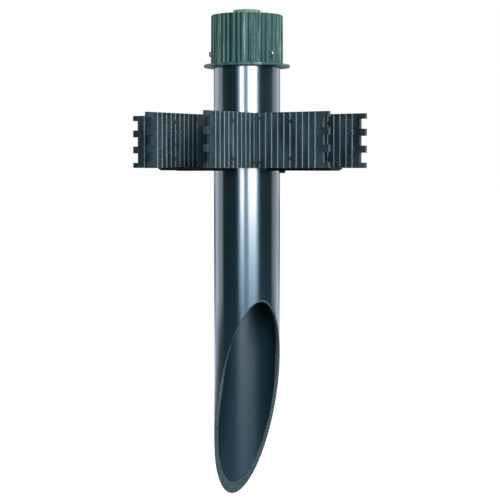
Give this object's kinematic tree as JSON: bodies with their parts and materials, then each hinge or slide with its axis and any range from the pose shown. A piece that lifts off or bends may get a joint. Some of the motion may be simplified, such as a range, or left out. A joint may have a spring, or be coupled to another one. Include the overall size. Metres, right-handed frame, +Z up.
{
  "type": "landscape light post",
  "caption": "In-ground tubular post with a bevelled spike end, a ribbed cross-shaped stabilizer collar and a fluted cap with a threaded hub.",
  "frame": {"origin": "on the tube axis, level with the tip of the spike", "axes": "+Z up along the tube; the four stabilizer arms lie along +X, +Y, -X and -Y; the open side of the spike faces 29.3 degrees from +X towards -Y"},
  "size_m": [0.2244, 0.2244, 0.4715],
  "materials": {
    "tube_plastic": "gloss",
    "cap_metal": "textured powder coat",
    "wing_plastic": "matte",
    "screw_steel": "dark oxide"
  },
  "bodies": {
    "tube": {"post_tube": "tube_plastic"},
    "cap": {"cap": "cap_metal"},
    "set_screw_1": {"set_screw_1": "screw_steel"},
    "set_screw_2": {"set_screw_2": "screw_steel"},
    "set_screw_3": {"set_screw_3": "screw_steel"},
    "stabilizer": {"collar_half_1": "wing_plastic", "collar_half_2": "wing_plastic", "arm_core_1": "wing_plastic", "arm_core_2": "wing_plastic", "arm_core_3": "wing_plastic", "arm_core_4": "wing_plastic", "wing_panel_1": "wing_plastic", "wing_panel_2": "wing_plastic", "wing_panel_3": "wing_plastic", "wing_panel_4": "wing_plastic"}
  },
  "joints": [
    {"name": "cap_lift", "type": "slide", "parent": "tube", "child": "cap", "axis": [0, 0, 1], "range_m": [0, 0.06]},
    {"name": "stabilizer_slide", "type": "slide", "parent": "tube", "child": "stabilizer", "axis": [0, 0, 1], "range_m": [-0.115, 0.044]},
    {"name": "set_screw_1_turn_out", "type": "slide", "parent": "cap", "child": "set_screw_1", "axis": [0.977, -0.213, 0], "range_m": [0, 0.0018]},
    {"name": "set_screw_2_turn_out", "type": "slide", "parent": "cap", "child": "set_screw_2", "axis": [-0.304, 0.9527, 0], "range_m": [0, 0.0018]},
    {"name": "set_screw_3_turn_out", "type": "slide", "parent": "cap", "child": "set_screw_3", "axis": [-0.673, -0.7396, 0], "range_m": [0, 0.0018]}
  ]
}
